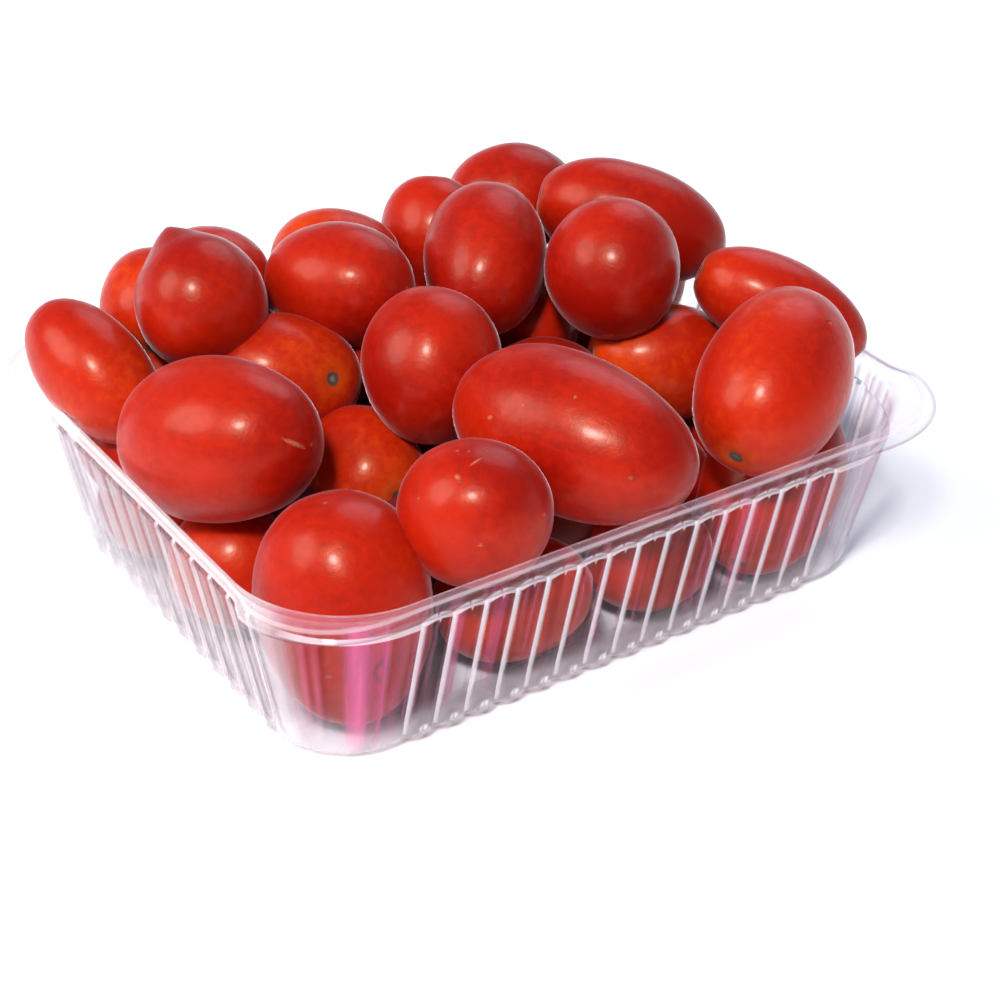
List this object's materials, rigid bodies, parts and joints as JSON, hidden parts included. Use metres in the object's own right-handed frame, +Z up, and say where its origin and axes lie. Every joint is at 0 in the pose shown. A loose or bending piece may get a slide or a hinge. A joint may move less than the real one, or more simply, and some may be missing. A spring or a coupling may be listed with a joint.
{
  "type": "punnet of cherry tomatoes",
  "caption": "Open clear plastic tray with fluted, leaning walls and a flat lip, heaped above its rim with small red plum tomatoes.",
  "frame": {"origin": "middle of the tray's underside, on the surface it rests on", "axes": "+Z up through the open top, +X along the tray's long side, +Y along its short side"},
  "size_m": [0.1418, 0.1142, 0.0618],
  "materials": {
    "clear_plastic": "clear, thin, glossy",
    "tomato_skin": "smooth waxy skin"
  },
  "bodies": {
    "root": {"punnet": "clear_plastic", "tomatoes": "tomato_skin"}
  },
  "joints": []
}
